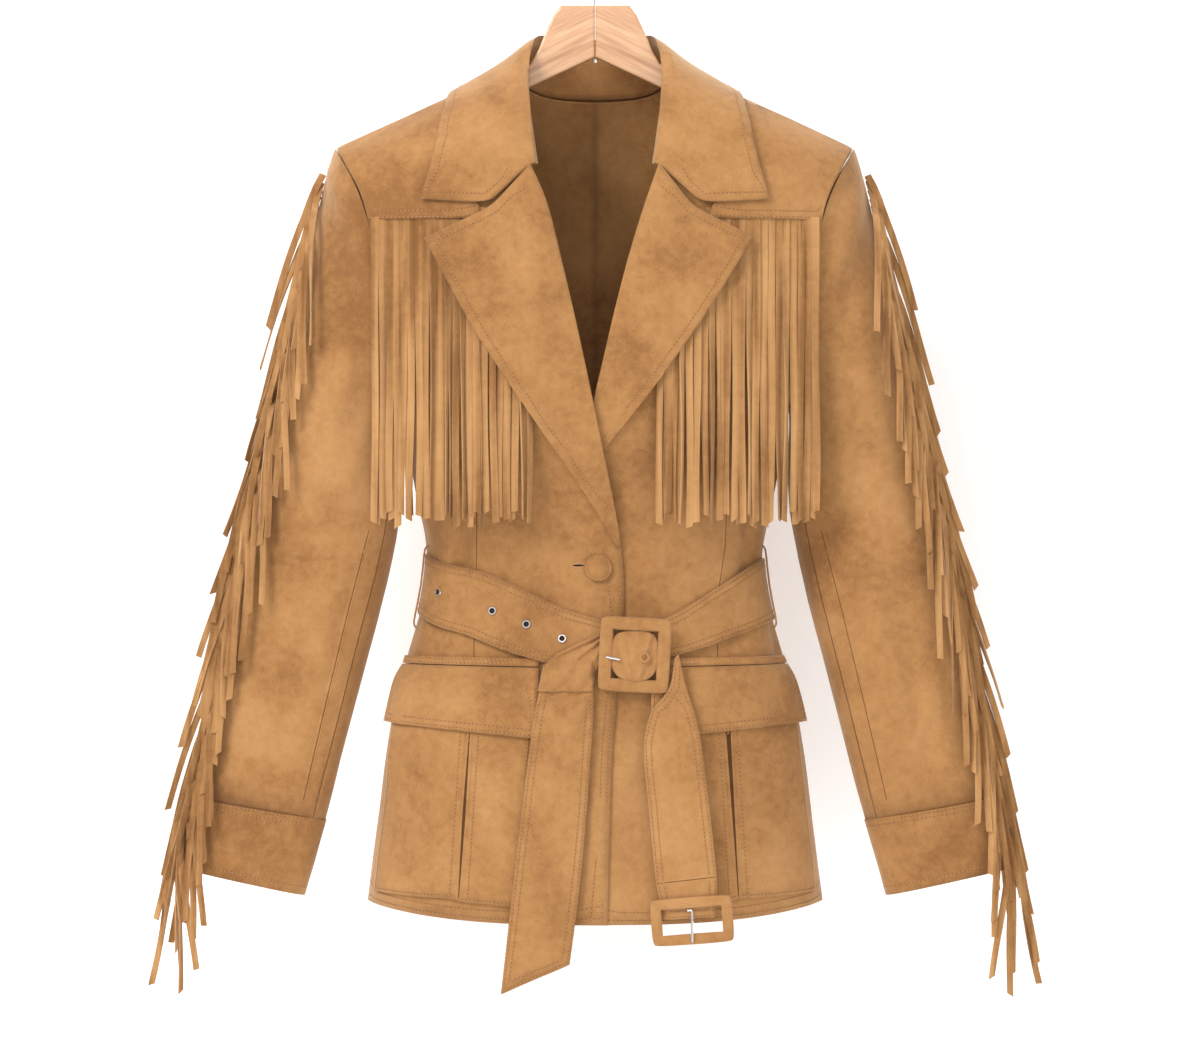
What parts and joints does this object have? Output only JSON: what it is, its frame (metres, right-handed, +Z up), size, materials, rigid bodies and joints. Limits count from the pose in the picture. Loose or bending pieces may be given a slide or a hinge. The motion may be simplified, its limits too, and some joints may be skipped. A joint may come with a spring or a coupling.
{
  "type": "suede jacket on a wooden hanger",
  "caption": "Hip-length suede jacket with cut fringe on yoke and sleeves, patch pockets and a long buckled belt, hung on a wooden hanger with a wire hook.",
  "frame": {"origin": "inside of the crown of the hanger's hook, where a rail carries it", "axes": "+Z up along the hook's stem; the jacket's front faces -Y and the wearer's right is at -X"},
  "size_m": [0.748, 0.1794, 0.8734],
  "materials": {
    "suede": "matt, brushed nap",
    "fringe": "matt, cut edges",
    "wood": "satin varnish",
    "chrome": "polished"
  },
  "bodies": {
    "coat": {"back_left": "suede", "back_right": "suede", "belt": "suede", "belt_knot": "suede", "belt_loop_left": "suede", "belt_loop_right": "suede", "belt_tail": "suede", "belt_tip": "suede", "buckle": "suede", "buckle_prong": "chrome", "button": "suede", "collar": "suede", "cuff_left": "suede", "cuff_right": "suede", "end_buckle": "suede", "eyelet_1": "chrome", "eyelet_2": "chrome", "eyelet_3": "chrome", "eyelet_4": "chrome", "flap_band_left": "suede", "flap_band_right": "suede", "flap_left": "suede", "flap_right": "suede", "fringe_sleeve_left": "fringe", "fringe_sleeve_right": "fringe", "fringe_yoke_left": "fringe", "fringe_yoke_right": "fringe", "front_left": "suede", "front_right": "suede", "hanger_hook": "chrome", "hanger_left": "wood", "hanger_right": "wood", "hanger_screw": "chrome", "lapel_left": "suede", "lapel_right": "suede", "pocket_left": "suede", "pocket_right": "suede", "sleeve_left_top": "suede", "sleeve_left_under": "suede", "sleeve_right_top": "suede", "sleeve_right_under": "suede", "yoke_left": "suede", "yoke_right": "suede"},
    "end_prong": {"end_buckle_prong": "chrome"}
  },
  "joints": [
    {"name": "end_prong_hinge", "type": "hinge", "parent": "coat", "child": "end_prong", "pos_m": [0.0783, -0.09039, -0.7982], "axis": [-1, 0, 0], "range_deg": [0, 75]}
  ]
}
